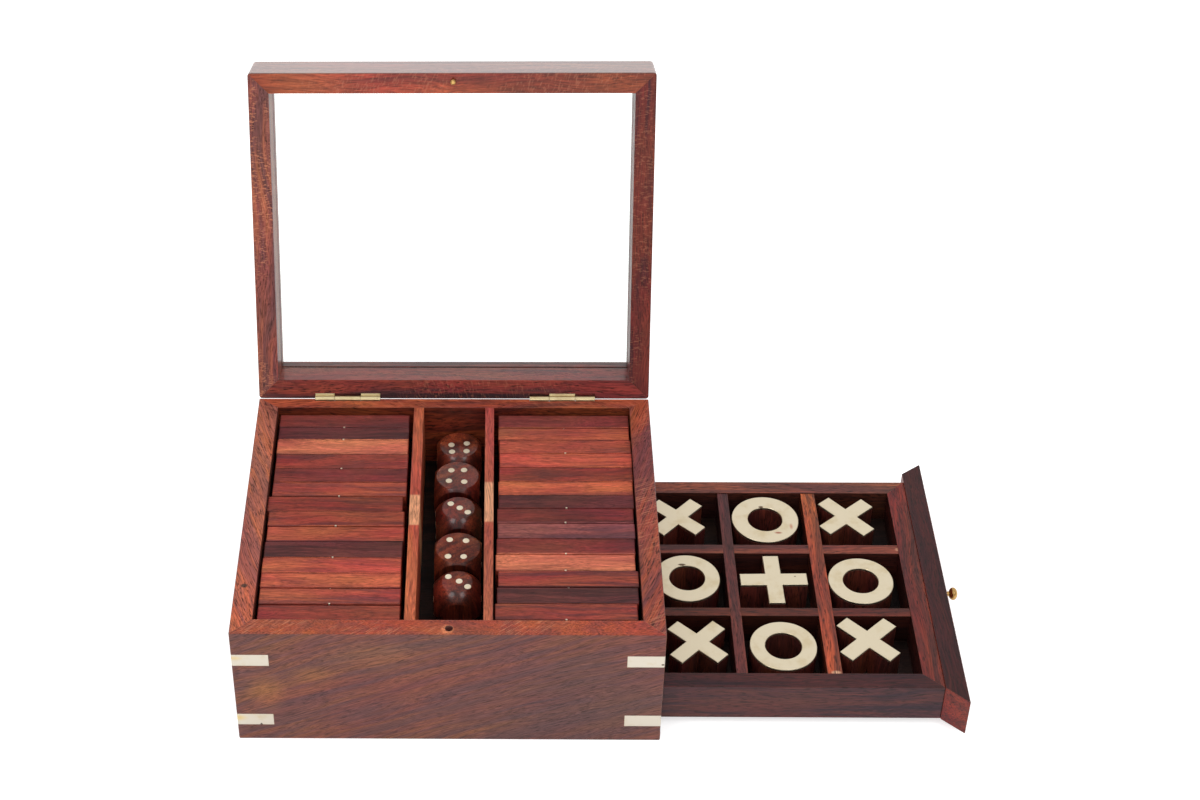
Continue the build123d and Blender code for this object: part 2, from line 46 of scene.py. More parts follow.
# ---- small helpers
def linear(colour):
    """A written sRGB colour such as #7B5248, as the linear RGBA that a shader takes."""
    channels = [int(colour[i:i + 2], 16) / 255 for i in (1, 3, 5)]
    turned = [c / 12.92 if c <= 0.04045 else ((c + 0.055) / 1.055) ** 2.4 for c in channels]
    return (*turned, 1.0)


def add(tree, kind, inputs=None, **settings):
    """Adds a node. Its inputs are numbers, written colours, other nodes' sockets, or nodes, which
    stand for their first output, and its settings are the node's own properties."""
    made = tree.nodes.new(kind)
    for name, value in settings.items():
        setattr(made, name, value)
    for key, value in (inputs or {}).items():
        if isinstance(value, bpy.types.Node):
            value = value.outputs[0]
        if isinstance(value, bpy.types.NodeSocket):
            tree.links.new(value, made.inputs[key])
        elif isinstance(value, str) and value.startswith("#"):
            made.inputs[key].default_value = linear(value)
        else:
            made.inputs[key].default_value = value
    return made


SMOOTH = {"interpolation_type": "SMOOTHSTEP"}  # a range that eases in and out, from 0 to 1
COLOURS = {"data_type": "RGBA"}  # a mix of two colours, which are its inputs 6 and 7, and 2 its output


def new_material(name):
    """An empty node material and its tree."""
    material = bpy.data.materials.new(name)
    material.use_nodes = True
    material.node_tree.nodes.clear()
    return material, material.node_tree


def millimetres(tree):
    """The surface's place on the object, in millimetres."""
    place = add(tree, "ShaderNodeTexCoord").outputs["Object"]
    return add(tree, "ShaderNodeVectorMath", {0: place, "Scale": 1 / MM}, operation="SCALE")


def speckle(tree, place, spacing, detail=2.0, roughness=0.5):
    """Noise whose blobs are about as long as spacing, in millimetres, on each axis."""
    stretched = add(tree, "ShaderNodeVectorMath", {0: place, 1: spacing}, operation="DIVIDE")
    inputs = {"Vector": stretched, "Scale": 1.0, "Detail": detail, "Roughness": roughness}
    return add(tree, "ShaderNodeTexNoise", inputs)


FLAT_FACE, WORN_EDGE = 0.985, 0.80  # how alike the plain and the eased normal are on each


def worn_edges(tree, radius):
    """How near the surface is to a sharp edge, 0 to 1, and the normal of the edge once eased."""
    eased = add(tree, "ShaderNodeBevel", {"Radius": radius * MM}, samples=4)
    plain = add(tree, "ShaderNodeNewGeometry").outputs["Normal"]
    alike = add(tree, "ShaderNodeVectorMath", {0: eased, 1: plain}, operation="DOT_PRODUCT")
    inputs = {0: alike.outputs["Value"], 1: FLAT_FACE, 2: WORN_EDGE}
    return add(tree, "ShaderNodeMapRange", inputs, **SMOOTH), eased


def patched(tree, place, colour, patches):
    """A colour with oval patches on it. Each has its centre and reach in millimetres, the outer share
    of that reach over which it fades, its strength and its own colour."""
    for centre, reach, soft, strength, mark in patches:
        offset = add(tree, "ShaderNodeVectorMath", {0: place, 1: centre}, operation="SUBTRACT")
        share = add(tree, "ShaderNodeVectorMath", {0: offset, 1: reach}, operation="DIVIDE")
        length = add(tree, "ShaderNodeVectorMath", {0: share}, operation="LENGTH").outputs["Value"]
        inside = add(tree, "ShaderNodeMapRange", {0: length, 1: 1.0, 2: 1.0 - soft}, **SMOOTH)
        inside = add(tree, "ShaderNodeMath", {0: inside, 1: strength}, operation="MULTIPLY")
        colour = add(tree, "ShaderNodeMix", {0: inside, 6: colour, 7: mark}, **COLOURS).outputs[2]
    return colour


CELL_SLACK = 0.1  # mm


def in_cells(tree, place):
    """1 on what lies between the drawer's rails, where the noughts and crosses stand, and 0 elsewhere."""
    low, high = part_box("drawer_base")
    middle, half = (low + high) / 2 / MM, (high - low) / 2 / MM
    offset = add(tree, "ShaderNodeVectorMath", {0: place, 1: middle}, operation="SUBTRACT")
    away = add(tree, "ShaderNodeVectorMath", {0: offset}, operation="ABSOLUTE")
    past = add(tree, "ShaderNodeVectorMath", {0: away, 1: half}, operation="SUBTRACT")
    past_x, past_y, _ = add(tree, "ShaderNodeSeparateXYZ", {0: past}).outputs
    furthest = add(tree, "ShaderNodeMath", {0: past_x, 1: past_y}, operation="MAXIMUM")
    return add(tree, "ShaderNodeMath", {0: furthest, 1: CELL_SLACK}, operation="LESS_THAN")


# ---- the dominoes stand in rows, each tile cut from its own piece of wood
def tile_spans(node):
    """The front and back of each tile in a row, back to front, from the four places along Y that its
    faces and broken edges take in the row's mesh."""
    places = sorted({round(vertex.co.y, 6) for vertex in nodes[node].data.vertices})
    return list(zip(places[0::4], places[3::4]))[::-1]


def tile_tones(tree, place, spans, tones):
    """A colour that changes from tile to tile along a row."""
    near, far = spans[-1][0], spans[0][1]
    along = add(tree, "ShaderNodeSeparateXYZ", {0: place}).outputs[1]
    share = add(tree, "ShaderNodeMapRange", {0: along, 1: near / MM, 2: far / MM})
    ramp = add(tree, "ShaderNodeValToRGB", {0: share})
    stops = ramp.color_ramp
    stops.interpolation = "CONSTANT"
    for (front, _), tone in zip(spans[::-1], tones[::-1]):
        at = (front - near) / (far - near)
        stop = stops.elements[0] if front == near else stops.elements.new(at)
        stop.color = linear(tone)
    stops.elements.remove(stops.elements[-1])
    return ramp


# ---- oiled rosewood: spacings in millimetres, the first along the grain
GRAIN_TURNS = {"x": (0, 0, 0), "y": (0, 0, -90), "z": (0, 90, 0)}
SEED_STEP = (61.0, 37.0, 23.0)  # from one board's place in the wood to the next one's
TILE_JUMP = 900.0  # the most between the places that two tiles of a row come from
TILE_SHADE = 9  # a tile's number as a shade of red, which sets its own jump
WANDER = (95.0, 30.0, 30.0)  # the bends in the grain
WANDER_FAR = (0, 16, 16)  # how far they move it
RING_GAP = 6.0  # between growth rings
HEART_AWAY = (0.0, 46.0, -31.0)  # from the board to the heart of the tree
ACROSS = (0, 1, 1)
FIBRE = (11.0, 0.42, 0.42)  # drawn about twice as coarse as real fibres, so that they show
PORE = (4.2, 0.34, 0.34)  # vessel lines, as long and fine as rosewood's, a little coarser
STREAK = (70.0, 2.4, 2.4)
BLOTCH = (60.0, 17.0, 17.0)
SAW_MARK = (0.45, 7.0, 7.0)  # left by the saw across the grain
FLECK = (0.5, 2.2, 2.2)  # the shorter ones that sanding has left on the lid
BOARD_EDGE = 0.35  # how far in from a sharp edge it wears
TILE_SHADED_EDGE = 0.5  # how far in from a tile's edges the painted shade between the tiles reaches

RING_SHARE, STREAK_SHARE, BLOTCH_SHARE = 0.45, 0.55, 0.45  # of each in the tone
DARK_FROM, DARK_FULL = 0.47, 0.63  # the tones where the dark streaks begin, and are whole
WARM_FROM, WARM_FULL = 0.53, 0.38
PORE_FROM, PORE_FULL = 0.56, 0.68
TOP_FROM, TOP_FULL = 0.5, 0.9  # how far up a face looks, to count as a top one
SAWN_FROM, SAWN_FULL = 0.42, 0.58  # where a board is sawn rough, and then the cuts there
CUT_FROM, CUT_FULL = 0.50, 0.68
HUES = {1: 0.3, 2: 0.7, 3: 0.490, 4: 0.510}  # the hue's slow drift along a board, 0.5 being none
FIBRE_TONES = {1: 0.25, 2: 0.75, 3: 0.42, 4: 1.58}  # from the darkest fibre to the lightest
TILE_GLOW = 1.45  # a tile's warm patches, to its body
FIBRE_HEIGHT = 0.5  # of a fibre, to a vessel line's depth
GRAIN_ROUGH = 0.12  # what fibres and vessel lines add to the roughness
PORE_DARK = "#170B0A"
# the colour of the painted shade on the walls of the drawer's cells
CELL_SHADE_COLOUR = "#120A09"
RAW_WOOD = "#CF8260"  # where the saw has torn it


def lay_grain(tree, place, along, turn, seed, fine, spans):
    """Where a point was in the wood before its board was sawn, with the grain along X. Each tile of a
    row comes from a place of its own."""
    turns = [math.radians(a + b) for a, b in zip(GRAIN_TURNS[along], turn)]
    offset = [seed * step for step in SEED_STEP]
    grain = add(tree, "ShaderNodeMapping", {0: place, 1: offset, 2: turns, 3: (fine, fine, fine)})
    if not spans:
        return grain
    shades = [f"#{TILE_SHADE * number:02X}0000" for number in range(len(spans))]
    shade = tile_tones(tree, place, spans, shades)
    jump = add(tree, "ShaderNodeTexWhiteNoise", {0: shade}, noise_dimensions="3D").outputs["Color"]
    jump = add(tree, "ShaderNodeVectorMath", {0: jump, "Scale": TILE_JUMP}, operation="SCALE")
    return add(tree, "ShaderNodeVectorMath", {0: grain, 1: jump}, operation="ADD")


def wood_figure(tree, grain):
    """The figure of the wood where the grain wanders: its tone, from growth rings, streaks and
    blotches, then three slow drifts, the fibres and the vessel lines, each about 0 to 1."""
    wander = speckle(tree, grain, WANDER).outputs["Color"]
    wander = add(tree, "ShaderNodeVectorMath", {0: wander, 1: (0.5, 0.5, 0.5)}, operation="SUBTRACT")
    wander = add(tree, "ShaderNodeVectorMath", {0: wander, 1: WANDER_FAR}, operation="MULTIPLY")
    bent = add(tree, "ShaderNodeVectorMath", {0: grain, 1: wander}, operation="ADD")

    across = add(tree, "ShaderNodeVectorMath", {0: bent, 1: HEART_AWAY}, operation="SUBTRACT")
    across = add(tree, "ShaderNodeVectorMath", {0: across, 1: ACROSS}, operation="MULTIPLY")
    from_heart = add(tree, "ShaderNodeVectorMath", {0: across}, operation="LENGTH").outputs["Value"]
    ring = add(tree, "ShaderNodeMath", {0: from_heart, 1: RING_GAP}, operation="DIVIDE")
    inputs = {"W": ring, "Scale": 1.0, "Detail": 3.0, "Roughness": 0.62}
    rings = add(tree, "ShaderNodeTexNoise", inputs, noise_dimensions="1D")
    streaks = speckle(tree, bent, STREAK, detail=4.0, roughness=0.6)
    blotches = speckle(tree, bent, BLOTCH).outputs["Color"]
    drifts = add(tree, "ShaderNodeSeparateColor", {0: blotches}).outputs

    rings = add(tree, "ShaderNodeMath", {0: rings, 1: RING_SHARE}, operation="MULTIPLY")
    streaks = add(tree, "ShaderNodeMath", {0: streaks, 1: STREAK_SHARE}, operation="MULTIPLY")
    tone = add(tree, "ShaderNodeMath", {0: rings, 1: streaks}, operation="ADD")
    tone = add(tree, "ShaderNodeMath", {0: tone, 1: BLOTCH_SHARE / 2}, operation="SUBTRACT")
    tone = add(tree, "ShaderNodeMath", {0: drifts[0], 1: BLOTCH_SHARE, 2: tone}, operation="MULTIPLY_ADD")

    fibres = speckle(tree, bent, FIBRE, roughness=0.6)
    vessels = speckle(tree, bent, PORE, detail=1.0)
    vessels = add(tree, "ShaderNodeMapRange", {0: vessels, 1: PORE_FROM, 2: PORE_FULL}, **SMOOTH)
    return tone, drifts, fibres, vessels


def tool_marks(tree, grain, drift, slant, strength, spacing):
    """The rough marks of saw and sandpaper, at a slant in degrees, where the drift is strong."""
    sawn = add(tree, "ShaderNodeMapping", {0: grain, 2: (0, 0, math.radians(slant))})
    cuts = speckle(tree, sawn, spacing, roughness=0.6)
    cuts = add(tree, "ShaderNodeMapRange", {0: cuts, 1: CUT_FROM, 2: CUT_FULL}, **SMOOTH)
    where = add(tree, "ShaderNodeMapRange", {0: drift, 1: SAWN_FROM, 2: SAWN_FULL}, **SMOOTH)
    where = add(tree, "ShaderNodeMath", {0: where, 1: strength}, operation="MULTIPLY")
    return add(tree, "ShaderNodeMath", {0: cuts, 1: where}, operation="MULTIPLY")


def rosewood(
    name, body, streak, glow, along="x", turn=(0, 0, 0), seed=0, streaky=0.85, glowing=0.6, pores=0.75,
    fine=1.0, saw=None, top=None, painted_cell_shade=None, patches=(), edge=(0.2, "#B87258"), gloss=0.36, coat=0.1,
    top_coat=None, coat_ior=1.5, row=None,
):
    """Indian rosewood, planed, sanded and oiled: a red-brown body with darker smoky streaks along the
    board, warmer patches, fine dark vessel lines and a satin shine. streaky, glowing and pores are how
    strongly those three show, fine is how close the grain is, saw the slant in degrees and strength of
    the tool marks and whether only the faces that look up have them, top the tone painted on those
    faces, lighter than the sides as painted light and darker as painted shade, top_coat their polish,
    painted_cell_shade how dark the walls of the drawer's cells are painted as shade, edge how far and
    to what tone the sharp edges wear, which on the dominoes is a dark painted shade between the tiles,
    and row the tiles of a row of dominoes, whose own bodies and streaks take the place of the two given."""
    material, tree = new_material(name)
    place = millimetres(tree)
    spans = None
    if row:
        spans, tiles = row
        body = tile_tones(tree, place, spans, [tile[0] for tile in tiles])
        streak = tile_tones(tree, place, spans, [tile[1] for tile in tiles])
        glow = add(tree, "ShaderNodeHueSaturation", {"Value": TILE_GLOW, "Color": body})
    grain = lay_grain(tree, place, along, turn, seed, fine, spans)
    tone, drifts, fibres, vessels = wood_figure(tree, grain)
    vessels = add(tree, "ShaderNodeMath", {0: vessels, 1: pores}, operation="MULTIPLY")
    facing = add(tree, "ShaderNodeTexCoord").outputs["Normal"]
    facing = add(tree, "ShaderNodeSeparateXYZ", {0: facing}).outputs[2]
    facing_up = add(tree, "ShaderNodeMapRange", {0: facing, 1: TOP_FROM, 2: TOP_FULL}, **SMOOTH)

    warm = add(tree, "ShaderNodeMapRange", {0: tone, 1: WARM_FROM, 2: WARM_FULL}, **SMOOTH)
    warm = add(tree, "ShaderNodeMath", {0: warm, 1: glowing}, operation="MULTIPLY")
    colour = add(tree, "ShaderNodeMix", {0: warm, 6: body, 7: glow}, **COLOURS).outputs[2]
    dark = add(tree, "ShaderNodeMapRange", {0: tone, 1: DARK_FROM, 2: DARK_FULL}, **SMOOTH)
    dark = add(tree, "ShaderNodeMath", {0: dark, 1: streaky}, operation="MULTIPLY")
    colour = add(tree, "ShaderNodeMix", {0: dark, 6: colour, 7: streak}, **COLOURS).outputs[2]
    colour = patched(tree, place, colour, patches)
    # Painted light and shade: the faces that look up take the top tone, lighter or darker than the sides.
    if top:
        painted_top_ratio = Vector([up / face for up, face in zip(linear(top)[:3], linear(body)[:3])])
        toned = add(tree, "ShaderNodeVectorMath", {0: colour, 1: painted_top_ratio}, operation="MULTIPLY")
        colour = add(tree, "ShaderNodeMix", {0: facing_up, 6: colour, 7: toned}, **COLOURS).outputs[2]
    hue = add(tree, "ShaderNodeMapRange", {0: drifts[1], **HUES})
    colour = add(tree, "ShaderNodeHueSaturation", {"Hue": hue, "Color": colour})
    lighter = add(tree, "ShaderNodeMapRange", {0: fibres, **FIBRE_TONES})
    colour = add(tree, "ShaderNodeVectorMath", {0: colour, "Scale": lighter}, operation="SCALE")
    colour = add(tree, "ShaderNodeMix", {0: vessels, 6: colour, 7: PORE_DARK}, **COLOURS).outputs[2]
    # Painted shade: the faces inside the drawer's cells that don't look up are darkened.
    if painted_cell_shade:
        aside = add(tree, "ShaderNodeMath", {0: 1.0, 1: facing_up}, operation="SUBTRACT")
        walls = add(tree, "ShaderNodeMath", {0: in_cells(tree, place), 1: aside}, operation="MULTIPLY")
        walls = add(tree, "ShaderNodeMath", {0: walls, 1: painted_cell_shade}, operation="MULTIPLY")
        colour = add(tree, "ShaderNodeMix", {0: walls, 6: colour, 7: CELL_SHADE_COLOUR}, **COLOURS).outputs[2]

    height = add(tree, "ShaderNodeMath", {0: fibres, 1: FIBRE_HEIGHT}, operation="MULTIPLY")
    height = add(tree, "ShaderNodeMath", {0: height, 1: vessels}, operation="SUBTRACT")
    if saw:
        slant, strength, only_top = saw
        cuts = tool_marks(tree, grain, drifts[2], slant, strength, SAW_MARK if only_top else FLECK)
        if only_top:
            cuts = add(tree, "ShaderNodeMath", {0: cuts, 1: facing_up}, operation="MULTIPLY")
        colour = add(tree, "ShaderNodeMix", {0: cuts, 6: colour, 7: RAW_WOOD}, **COLOURS).outputs[2]
        height = add(tree, "ShaderNodeMath", {0: height, 1: cuts}, operation="ADD")

    # The boards' sharp edges are lightened as wear; on the dominoes the same mix darkens them as painted
    # shade in the gaps between the tiles.
    worn, eased = worn_edges(tree, TILE_SHADED_EDGE if row else BOARD_EDGE)
    edge_strength, edge_wear_and_shade_tone = edge
    worn = add(tree, "ShaderNodeMath", {0: worn, 1: edge_strength}, operation="MULTIPLY")
    colour = add(tree, "ShaderNodeMix", {0: worn, 6: colour, 7: edge_wear_and_shade_tone}, **COLOURS).outputs[2]
    rough = add(tree, "ShaderNodeMath", {0: vessels, 1: fibres}, operation="ADD")
    rough = add(tree, "ShaderNodeMath", {0: rough, 1: GRAIN_ROUGH}, operation="MULTIPLY")
    rough = add(tree, "ShaderNodeMath", {0: gloss, 1: rough}, operation="ADD")
    inputs = {"Height": height, "Normal": eased, "Strength": 0.35, "Distance": 0.06 * MM}
    bump = add(tree, "ShaderNodeBump", inputs)
    if top_coat:
        inputs = {0: facing_up, 1: top_coat - coat, 2: coat}
        coat = add(tree, "ShaderNodeMath", inputs, operation="MULTIPLY_ADD")
    shader = add(
        tree, "ShaderNodeBsdfPrincipled",
        {"Base Color": colour, "Roughness": rough, "Normal": bump, "IOR": 1.5,
         "Specular IOR Level": 0.2, "Coat Weight": coat, "Coat Roughness": 0.15, "Coat IOR": coat_ior},
    )
    add(tree, "ShaderNodeOutputMaterial", {0: shader})
    return material


# ---- brass and glass
TARNISH_CLOUD = (7.0, 7.0, 7.0)  # mm
CLOUD_FROM, CLOUD_FULL = 0.48, 0.72
BRASS_EDGE = 0.25  # how far in from an edge it tarnishes, mm
DUST = (0.7, 0.7, 0.7)  # mm
DUST_FROM, DUST_FULL = 0.70, 0.78
SCRATCH_ROUGH, DUST_ROUGH = 0.16, 0.12  # what they add to the roughness


def brass(
    name, colour, tarnish, roughness=0.28, brushed=(0.16, 5.0, 5.0), tarnished=0.5, edge=1.0, marks=(),
):
    """Sheet brass, rubbed flat with the wood on fine paper and left bare: pale where it mirrors the
    light, with fine scratches one way and yellower tarnish in cloudy patches and at its edges. brushed
    is how long and how wide the scratches are, in millimetres, and marks the stains on it."""
    material, tree = new_material(name)
    place = millimetres(tree)
    scratches = speckle(tree, place, brushed, detail=3.0, roughness=0.6)
    clouds = speckle(tree, place, TARNISH_CLOUD, detail=4.0, roughness=0.6)
    clouds = add(tree, "ShaderNodeMapRange", {0: clouds, 1: CLOUD_FROM, 2: CLOUD_FULL}, **SMOOTH)
    worn, eased = worn_edges(tree, BRASS_EDGE)
    worn = add(tree, "ShaderNodeMath", {0: worn, 1: edge}, operation="MULTIPLY")
    dull = add(tree, "ShaderNodeMath", {0: clouds, 1: worn}, operation="MAXIMUM")
    dull = add(tree, "ShaderNodeMath", {0: dull, 1: tarnished}, operation="MULTIPLY")
    toned = add(tree, "ShaderNodeMix", {0: dull, 6: colour, 7: tarnish}, **COLOURS).outputs[2]
    toned = patched(tree, place, toned, marks)
    rough = add(tree, "ShaderNodeMath", {0: scratches, 1: SCRATCH_ROUGH}, operation="MULTIPLY")
    rough = add(tree, "ShaderNodeMath", {0: roughness, 1: rough}, operation="ADD")
    inputs = {"Height": scratches, "Normal": eased, "Strength": 0.12, "Distance": 0.03 * MM}
    bump = add(tree, "ShaderNodeBump", inputs)
    inputs = {"Base Color": toned, "Metallic": 1.0, "Roughness": rough, "Normal": bump}
    add(tree, "ShaderNodeOutputMaterial", {0: add(tree, "ShaderNodeBsdfPrincipled", inputs)})
    return material


def window_glass():
    """Float glass, polished both sides: quite clear, with a faint green edge and a few dust specks."""
    material, tree = new_material("clear float glass")
    dust = speckle(tree, millimetres(tree), DUST)
    dust = add(tree, "ShaderNodeMapRange", {0: dust, 1: DUST_FROM, 2: DUST_FULL}, **SMOOTH)
    rough = add(tree, "ShaderNodeMath", {0: dust, 1: DUST_ROUGH}, operation="MULTIPLY")
    inputs = {"Base Color": "#FBFFFD", "Roughness": rough, "IOR": 1.52, "Transmission Weight": 1.0}
    add(tree, "ShaderNodeOutputMaterial", {0: add(tree, "ShaderNodeBsdfPrincipled", inputs)})
    return material


def spot(node, right, back):
    """A spot on top of a node, in millimetres right of and behind its middle."""
    low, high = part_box(node)
    middle = (low + high) / 2 / MM
    return middle.x + right, middle.y + back, high.z / MM


LID_LEAN = 19.2  # the open lid from upright, degrees
HINGE_BACK, HINGE_UP = 63.4, 53.0  # the hinge pins' axis, mm


def on_lid(right, back, up):
    """A spot on the open lid, from its place on the closed one, in millimetres."""
    turn = Matrix.Rotation(-math.radians(90 + LID_LEAN), 3, "X")
    spun = turn @ Vector((0, back - HINGE_BACK, up - HINGE_UP))
    return right, HINGE_BACK + spun.y, HINGE_UP + spun.z


# ---- which wood each board is cut from: body, streak, glow, then how it lies
# The front board's top, lighter and redder than its front: painted light on the faces that look up.
BOX_TOP_PAINTED_LIGHT = "#994431"
CELL_SHADE_AMOUNT = 0.75  # how dark the cells' walls are painted, as shade
# A board's top tone is painted on the faces that look up: lighter than the sides as painted light on the
# box's walls, darker as painted shade on the drawer's front, its near rail and the lid's front rail.
boards = {
    "front_wall": rosewood(
        "rosewood, front board", "#7A473F", "#5B3E41", "#915535", turn=(0, 20, 0), seed=3, top=BOX_TOP_PAINTED_LIGHT,
        streaky=0.6, glowing=0.45, saw=(48, 0.55, True), pores=0.5, fine=1.25, edge=(0.45, "#C08A74"),
        patches=[
            ((-64, -64, 24), (9, 60, 13), 0.9, 0.5, "#B06E3E"),
            ((-47, -64, 33), (11, 60, 6), 0.9, 0.4, "#A8683C"),
            ((-26, -64, 43), (26, 60, 8), 0.9, 0.4, "#A06044"),
            ((-70, -64, 12), (5, 60, 8), 0.9, 0.4, "#A0623C"),
            ((50, -64, 19), (54, 60, 36), 0.8, 0.55, "#584141"),
            ((0, -61, 53), (2.7, 2.7, 1.2), 0.4, 0.55, "#B58A76"),
        ],
    ),
    "back_wall": rosewood(
        "rosewood, back board", "#76321F", "#48201A", "#8E4426", seed=5, top="#A04A34",
        saw=(-50, 0.3, True),
    ),
    "left_wall": rosewood(
        "rosewood, left board", "#75423A", "#4C3036", "#96502F", along="y", turn=(0, 0, -20), seed=8,
        streaky=0.4, top="#9C5646", saw=(40, 0.25, True),
        patches=[((-71.6, -39.9, 53), (1.5, 1.3, 1.5), 0.5, 0.9, "#2A201C")],
    ),
    "right_wall": rosewood(
        "rosewood, right board", "#6E3F38", "#46303A", "#94502F", along="y", turn=(0, 0, 20), seed=13,
        streaky=0.4, top="#7E3C35", saw=(-45, 0.45, True),
    ),
    "drawer_sill": rosewood("rosewood, sill", "#6E3F38", "#46303A", "#94502F", along="y", seed=14),
    "left_divider": rosewood(
        "rosewood, left divider", "#B4573A", "#8C4538", "#C46C3E", along="y", seed=17, streaky=0.5,
        pores=0.35, patches=[((-13, -0.2, 53), (900, 8.6, 900), 0.12, 0.95, "#D0986C")],
    ),
    "right_divider": rosewood(
        "rosewood, right divider", "#9F473B", "#773B3D", "#B55B41", along="y", seed=19, streaky=0.5,
        pores=0.35, patches=[((14, 4.3, 53), (900, 11.4, 900), 0.12, 0.95, "#CC906E")],
    ),
    "lid_front_rail": rosewood(
        "rosewood, lid front rail", "#A0422F", "#6A2C26", "#C4563B", seed=23, saw=(50, 0.26, False),
        streaky=0.7, top="#7C4A40", coat=0.12, top_coat=0.6, coat_ior=1.6, pores=0.4,
        patches=[
            (on_lid(40, -60, 53.2), (46, 12, 12), 0.8, 0.6, "#6A2820"),
            (on_lid(-50, -60, 53.2), (26, 8, 8), 0.9, 0.4, "#B0623C"),
        ],
    ),
    "lid_back_rail": rosewood(
        "rosewood, lid back rail", "#7D322A", "#47282B", "#994331", seed=27, saw=(-40, 0.22, False),
        patches=[
            # Painted shade: a dark band along the open lid's lower back edge, which faces down.
            (on_lid(0, 63.5, 53.2), (64, 2.6, 2.6), 0.25, 0.9, "#241218"),
            # Painted shadow: a dark line under the glass along the rail's inner face.
            (on_lid(0, 55.9, 67.4), (85, 0.55, 0.55), 0.5, 0.9, "#1E1212"),
        ],
    ),
    "lid_left_rail": rosewood(
        "rosewood, lid left rail", "#944E42", "#5E3C40", "#B46846", along="z", turn=(LID_LEAN, 0, 0),
        seed=29, saw=(50, 0.8, False), pores=0.6, streaky=0.7, fine=1.4,
    ),
    "lid_right_rail": rosewood(
        "rosewood, lid right rail", "#62241F", "#3B1A21", "#7E3325", along="z", turn=(LID_LEAN, 0, 0),
        seed=31, saw=(-50, 0.26, False), pores=0.5, streaky=0.8, fine=1.3,
    ),
    "drawer_front": rosewood(
        "rosewood, drawer front", "#7D2823", "#531A1B", "#953324", along="y", seed=37, top="#381214",
        streaky=0.7,
    ),
    "drawer_near_rail": rosewood(
        "rosewood, drawer near rail", "#50292B", "#2C1A26", "#64322B", seed=41, top="#3D191C",
        streaky=0.9,
    ),
    "drawer_far_rail": rosewood(
        "rosewood, drawer far rail", "#844333", "#552F2C", "#A05335", seed=43, painted_cell_shade=CELL_SHADE_AMOUNT,
    ),
    "drawer_end_rail": rosewood(
        "rosewood, drawer end rail", "#752C23", "#441F1F", "#923825", along="y", seed=47,
        painted_cell_shade=CELL_SHADE_AMOUNT,
    ),
    "drawer_inner_rail": rosewood(
        "rosewood, inner rail", "#6E3B33", "#402A2E", "#8A4A36", along="y", seed=48, painted_cell_shade=CELL_SHADE_AMOUNT,
    ),
    "first_column_bar": rosewood(
        "rosewood, first bar", "#662F2B", "#3F2224", "#7E3929", along="y", seed=53, painted_cell_shade=CELL_SHADE_AMOUNT,
    ),
    "second_column_bar": rosewood(
        "rosewood, second bar", "#A84C2F", "#643024", "#C25A32", along="y", seed=59, painted_cell_shade=CELL_SHADE_AMOUNT,
        patches=[(spot("second_column_bar", 0.5, -47.2), (2.4, 1.3, 1.5), 0.7, 0.9, "#C99A7C")],
    ),
    "back_row_bar": rosewood(
        "rosewood, back bar", "#6E342C", "#462726", "#88442E", seed=61, painted_cell_shade=CELL_SHADE_AMOUNT,
        patches=[(spot("back_row_bar", 47.0, 0), (1.6, 1.2, 1.5), 0.7, 0.9, "#B98468")],
    ),
    "front_row_bar": rosewood(
        "rosewood, near bar", "#56251B", "#351A17", "#6A2E1C", seed=67, painted_cell_shade=CELL_SHADE_AMOUNT,
    ),
    "drawer_guide": rosewood("rosewood, guide strip", "#5E3630", "#3C2626", "#7A4232", seed=71),
}
# The boards that the games stand on are coloured nearly black and left dull: painted shade, so that the
# hollows between the pieces stay dark.
NEAR_BLACK_SHADE_BOARD = rosewood(
    "near-black board, painted shade", "#23130F", "#140C0B", "#2E1B14", seed=73, gloss=0.55, coat=0.0,
    edge=(0.1, "#5A3A2C"),
)
# The sides of the noughts and crosses, under their brass, are darkened inside the cells as painted shade.
MARK_SIDES = rosewood(
    "rosewood, noughts and crosses", "#6A3028", "#3E201F", "#823C2A", along="z", seed=79, streaky=0.6,
    painted_cell_shade=0.45,
)
# The dice are dark heartwood, polished until they shine, with a lighter, redder top painted on as light.
DICE_WOOD = rosewood(
    "rosewood, dice", "#481A10", "#1C0B09", "#6C301C", along="z", seed=83, streaky=0.75, gloss=0.25,
    coat=0.5, top="#662818", edge=(0.05, "#B87258"),
)

# Each tile is cut from its own piece of wood: the woods' bodies and streaks, then the rows' woods
# from back to front.
WOODS = {
    "black": ("#5C2827", "#3B191B"),
    "plum": ("#722D28", "#4D2122"),
    "violet": ("#814342", "#59363E"),
    "red": ("#853428", "#5A2826"),
    "brown": ("#8A3A2C", "#602B2C"),
    "rust": ("#9A4432", "#6E3334"),
    "orange": ("#AE5038", "#8A3E34"),
    "pale": ("#BE6A4C", "#9C5340"),
}
LEFT_TILES = (
    "plum", "black", "pale", "brown", "plum", "rust", "red",
    "brown", "rust", "black", "orange", "orange", "rust", "red",
)
RIGHT_TILES = (
    "plum", "orange", "rust", "orange", "red", "orange", "black",
    "plum", "violet", "plum", "pale", "brown", "black", "brown",
)


def row_wood(name, tiles, seed):
    """The wood of a row of dominoes, with its edges darkened as painted shade between the tiles."""
    cut_from = [WOODS[tile] for tile in tiles]
    return rosewood(
        f"rosewood, {name}", "", "", "", seed=seed, streaky=0.8, edge=(0.8, "#160B09"), pores=0.45,
        fine=1.6, row=(tile_spans(name), cut_from),
    )


boards["left_dominoes"] = row_wood("left_dominoes", LEFT_TILES, 89)
boards["right_dominoes"] = row_wood("right_dominoes", RIGHT_TILES, 97)
for name in ("bottom_board", "tray_floor", "drawer_base"):
    boards[name] = NEAR_BLACK_SHADE_BOARD

